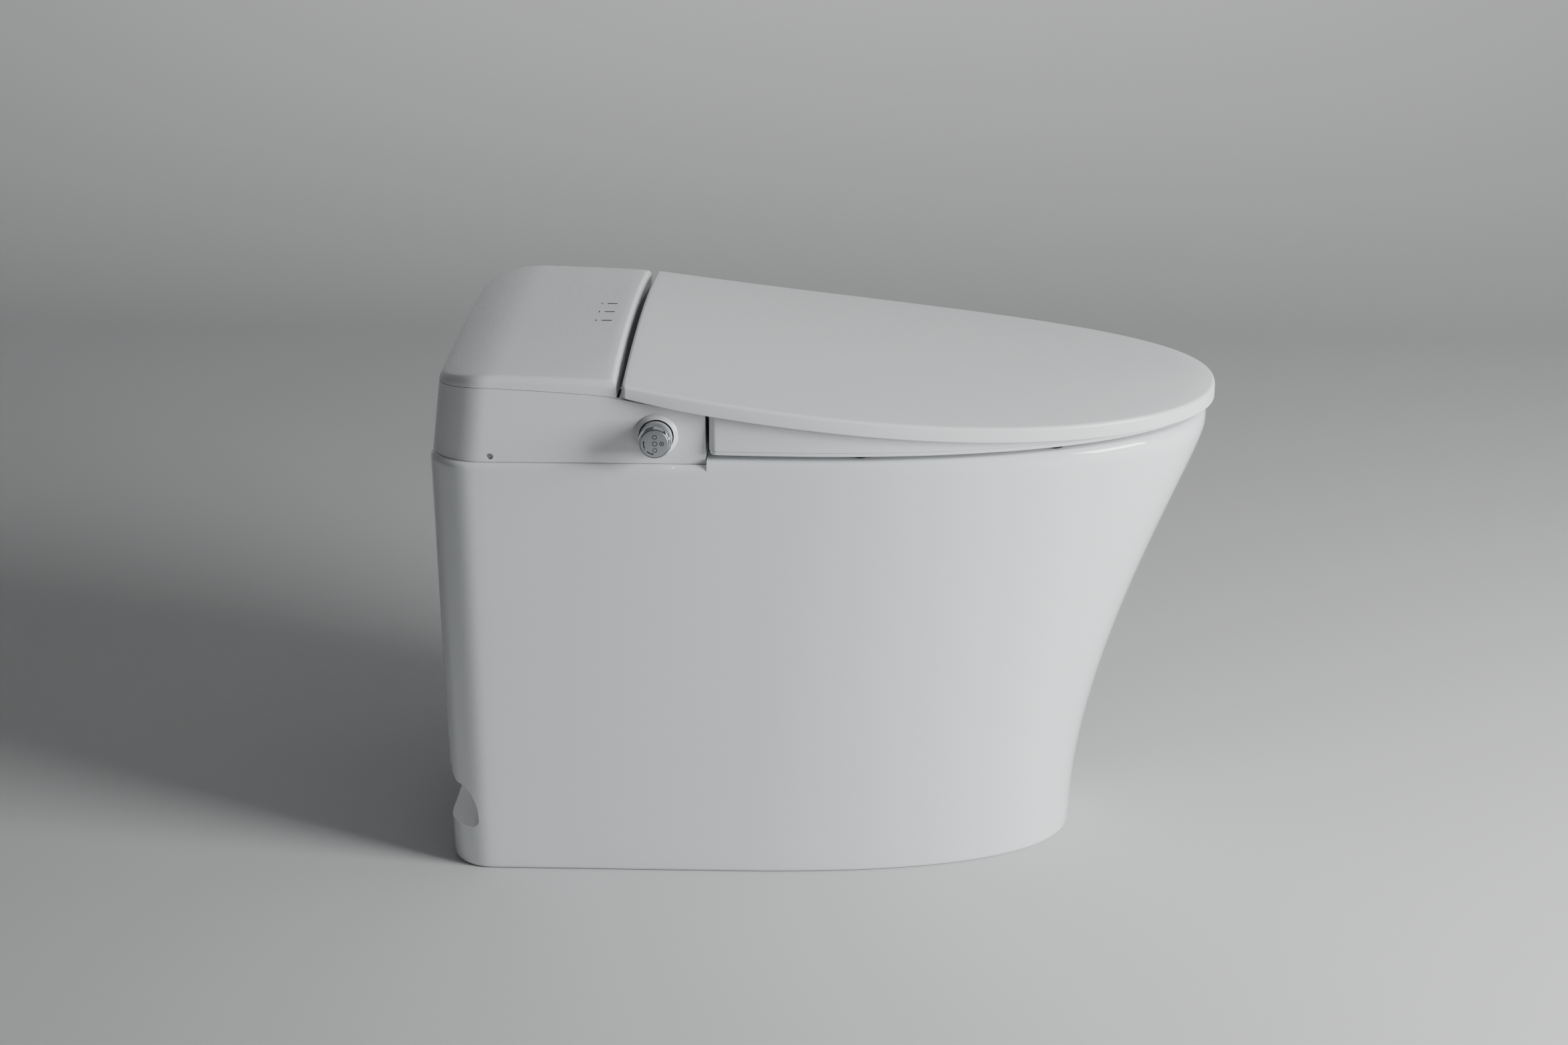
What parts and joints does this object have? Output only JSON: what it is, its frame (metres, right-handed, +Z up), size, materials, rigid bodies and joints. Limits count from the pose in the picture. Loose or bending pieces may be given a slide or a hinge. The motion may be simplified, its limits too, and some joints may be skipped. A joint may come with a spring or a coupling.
{
  "type": "bidet toilet",
  "caption": "Floor-standing bidet toilet with powered seat unit: skirted glazed pan, hinged lid and seat, side knob, sliding wash nozzle and warm air dryer.",
  "frame": {"origin": "on the floor, in the middle of the length and near the middle of the width (X = 0 is the plane of symmetry of the pan)", "axes": "+Z up, -Y towards the front of the bowl, +Y towards the wall, -X the side of the control knob"},
  "size_m": [0.402, 0.7, 0.4956],
  "materials": {
    "glaze": "gloss",
    "casing": "satin gloss",
    "seat_plastic": "satin gloss",
    "grey_plastic": "matt",
    "dark_plastic": "matt",
    "rubber": "matt",
    "chrome": "polished",
    "satin_metal": "brushed",
    "steel": "turned",
    "brass": "turned",
    "circuit": "solder mask",
    "carbon": "granular"
  },
  "bodies": {
    "root": {"ceramic_pan": "glaze", "outlet_seal": "rubber", "housing_shell": "casing", "top_cover": "casing", "hinge_pin_left": "steel", "hinge_pin_right": "steel", "lid_damper": "dark_plastic", "seat_damper": "dark_plastic", "knob_collar": "casing", "knob_encoder": "dark_plastic", "base_tray": "grey_plastic", "deck_bolt_left": "steel", "deck_bolt_right": "steel", "deck_nut_left": "brass", "deck_nut_right": "brass", "side_lock_screw_left": "steel", "side_lock_screw_right": "steel", "inlet_fitting": "brass", "cable_gland": "dark_plastic", "flush_valve": "grey_plastic", "flush_coil": "dark_plastic", "flush_pipe": "grey_plastic", "nozzle_cradle": "grey_plastic", "nozzle_motor": "dark_plastic", "blower_housing": "dark_plastic", "dryer_duct": "grey_plastic", "deodoriser_case": "grey_plastic", "carbon_cartridge": "carbon", "water_heater": "satin_metal", "inlet_valve": "casing", "valve_coil": "dark_plastic", "spray_pump": "dark_plastic", "power_board": "circuit", "control_board": "circuit", "indicator_light_1": "dark_plastic", "indicator_light_2": "dark_plastic", "indicator_light_3": "dark_plastic", "indicator_board": "circuit"},
    "seat": {"seat_top": "seat_plastic", "seat_bottom": "seat_plastic", "seat_heater": "satin_metal", "seat_bumper_front_left": "rubber", "seat_bumper_front_right": "rubber", "seat_bumper_rear_left": "rubber", "seat_bumper_rear_right": "rubber"},
    "lid": {"lid_outer": "seat_plastic", "lid_inner": "seat_plastic", "lid_bumper_left": "rubber", "lid_bumper_right": "rubber"},
    "knob": {"knob_ring": "chrome"},
    "button": {"knob_button": "satin_metal"},
    "nozzle": {"nozzle_wand": "seat_plastic", "nozzle_tip": "satin_metal"},
    "pinion": {"nozzle_pinion": "dark_plastic"},
    "flap": {"dryer_flap": "casing"},
    "dryer_wheel": {"dryer_fan": "grey_plastic"},
    "deodoriser_wheel": {"deodoriser_fan": "dark_plastic"}
  },
  "joints": [
    {"name": "seat_hinge", "type": "hinge", "parent": "root", "child": "seat", "pos_m": [0, 0.164, 0.481], "axis": [-1, 0, 0], "range_deg": [0, 92]},
    {"name": "lid_hinge", "type": "hinge", "parent": "seat", "child": "lid", "pos_m": [0, 0.164, 0.481], "axis": [1, 0, 0], "range_deg": [-95, 0]},
    {"name": "knob_turn", "type": "hinge", "parent": "root", "child": "knob", "pos_m": [-0.1794, 0.1457, 0.4376], "axis": [-1, 0, 0], "continuous": true},
    {"name": "knob_press", "type": "slide", "parent": "knob", "child": "button", "axis": [1, 0, 0], "range_m": [0, 0.002], "stiffness_N_per_m": 800},
    {"name": "nozzle_slide", "type": "slide", "parent": "root", "child": "nozzle", "axis": [0, -0.9659, -0.2588], "range_m": [0, 0.095]},
    {"name": "nozzle_pinion_spin", "type": "hinge", "parent": "root", "child": "pinion", "pos_m": [0.0165, 0.13734, 0.4348], "axis": [0, -0.2588, 0.9659], "range_deg": [-5, 915]},
    {"name": "dryer_flap_hinge", "type": "hinge", "parent": "root", "child": "flap", "pos_m": [0.072, 0.1049, 0.4315], "axis": [-1, 0, 0], "range_deg": [0, 60]},
    {"name": "dryer_fan_spin", "type": "hinge", "parent": "root", "child": "dryer_wheel", "pos_m": [0.072, 0.242, 0.43], "axis": [0, 0, 1], "continuous": true},
    {"name": "deodoriser_fan_spin", "type": "hinge", "parent": "root", "child": "deodoriser_wheel", "pos_m": [-0.074, 0.1425, 0.424], "axis": [0, 0, 1], "continuous": true}
  ],
  "couplings": [
    {"joint": "nozzle_pinion_spin", "follows": "nozzle_slide", "rad_per_m": 166.67}
  ]
}
